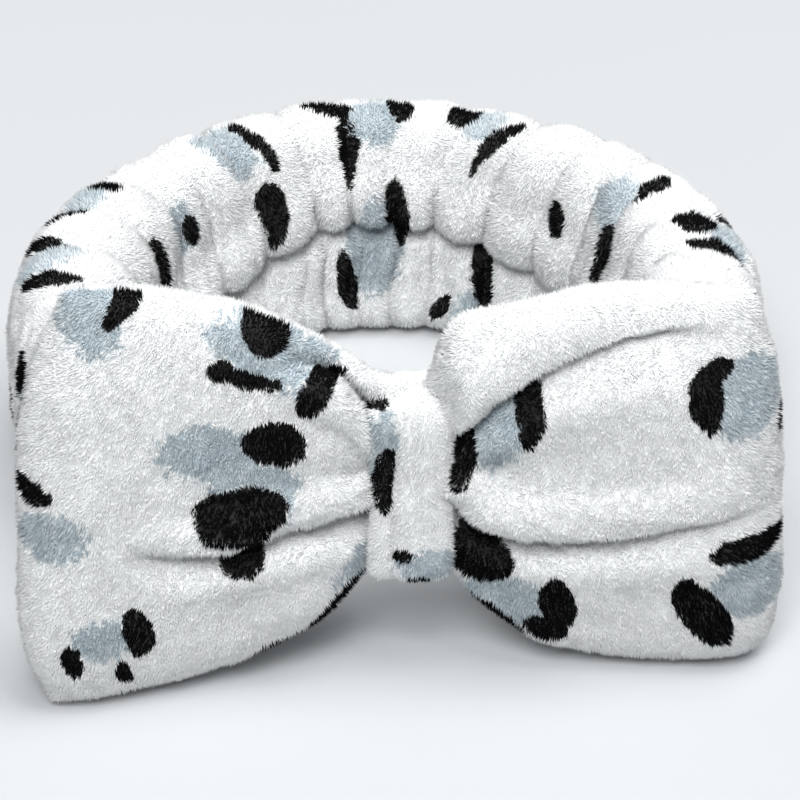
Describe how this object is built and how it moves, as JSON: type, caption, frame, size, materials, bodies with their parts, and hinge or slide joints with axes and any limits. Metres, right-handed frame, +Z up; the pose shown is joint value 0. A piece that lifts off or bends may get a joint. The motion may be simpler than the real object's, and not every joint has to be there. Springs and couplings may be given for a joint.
{
  "type": "spa headband",
  "caption": "Plush gathered elastic facial headband with a large padded bow pinched by a wrapped knot at the front.",
  "frame": {"origin": "middle of the bottom of the whole headband's box, where it lies on a table", "axes": "+Z up, -Y is the side that the bow faces, +X is the right side seen from the bow"},
  "size_m": [0.216, 0.2316, 0.117],
  "materials": {
    "fleece": "plush cut pile, white with soft blue-grey patches and black spots",
    "elastic": "flat woven elastic",
    "wadding": "loose polyester wadding",
    "thread": "matt sewing thread"
  },
  "bodies": {
    "ring": {"band_gather_left_1": "fleece", "band_gather_left_2": "fleece", "band_gather_left_3": "fleece", "band_gather_left_4": "fleece", "band_gather_right_1": "fleece", "band_gather_right_2": "fleece", "band_gather_right_3": "fleece", "band_gather_right_4": "fleece", "elastic_loop": "elastic"},
    "front": {"band_front_left": "fleece", "band_front_right": "fleece", "band_end_seam": "fleece", "elastic_end_left": "elastic", "elastic_end_right": "elastic", "bow_waist": "fleece", "knot_wrap": "fleece", "knot_stitches": "thread"},
    "left_wing": {"bow_left_front_panel": "fleece", "bow_left_back_panel": "fleece", "bow_left_wadding": "wadding"},
    "right_wing": {"bow_right_front_panel": "fleece", "bow_right_back_panel": "fleece", "bow_right_wadding": "wadding"}
  },
  "joints": [
    {"name": "band_stretch", "type": "slide", "parent": "ring", "child": "front", "axis": [0, -1, 0], "range_m": [0, 0.05], "stiffness_N_per_m": 100},
    {"name": "bow_left_flex", "type": "hinge", "parent": "front", "child": "left_wing", "pos_m": [-0.0215, -0.0943, 0.061], "axis": [0, 0, 1], "range_deg": [-10, 40], "stiffness_Nm_per_rad": 0.05},
    {"name": "bow_right_flex", "type": "hinge", "parent": "front", "child": "right_wing", "pos_m": [0.0215, -0.0943, 0.061], "axis": [0, 0, -1], "range_deg": [-10, 40], "stiffness_Nm_per_rad": 0.05}
  ]
}
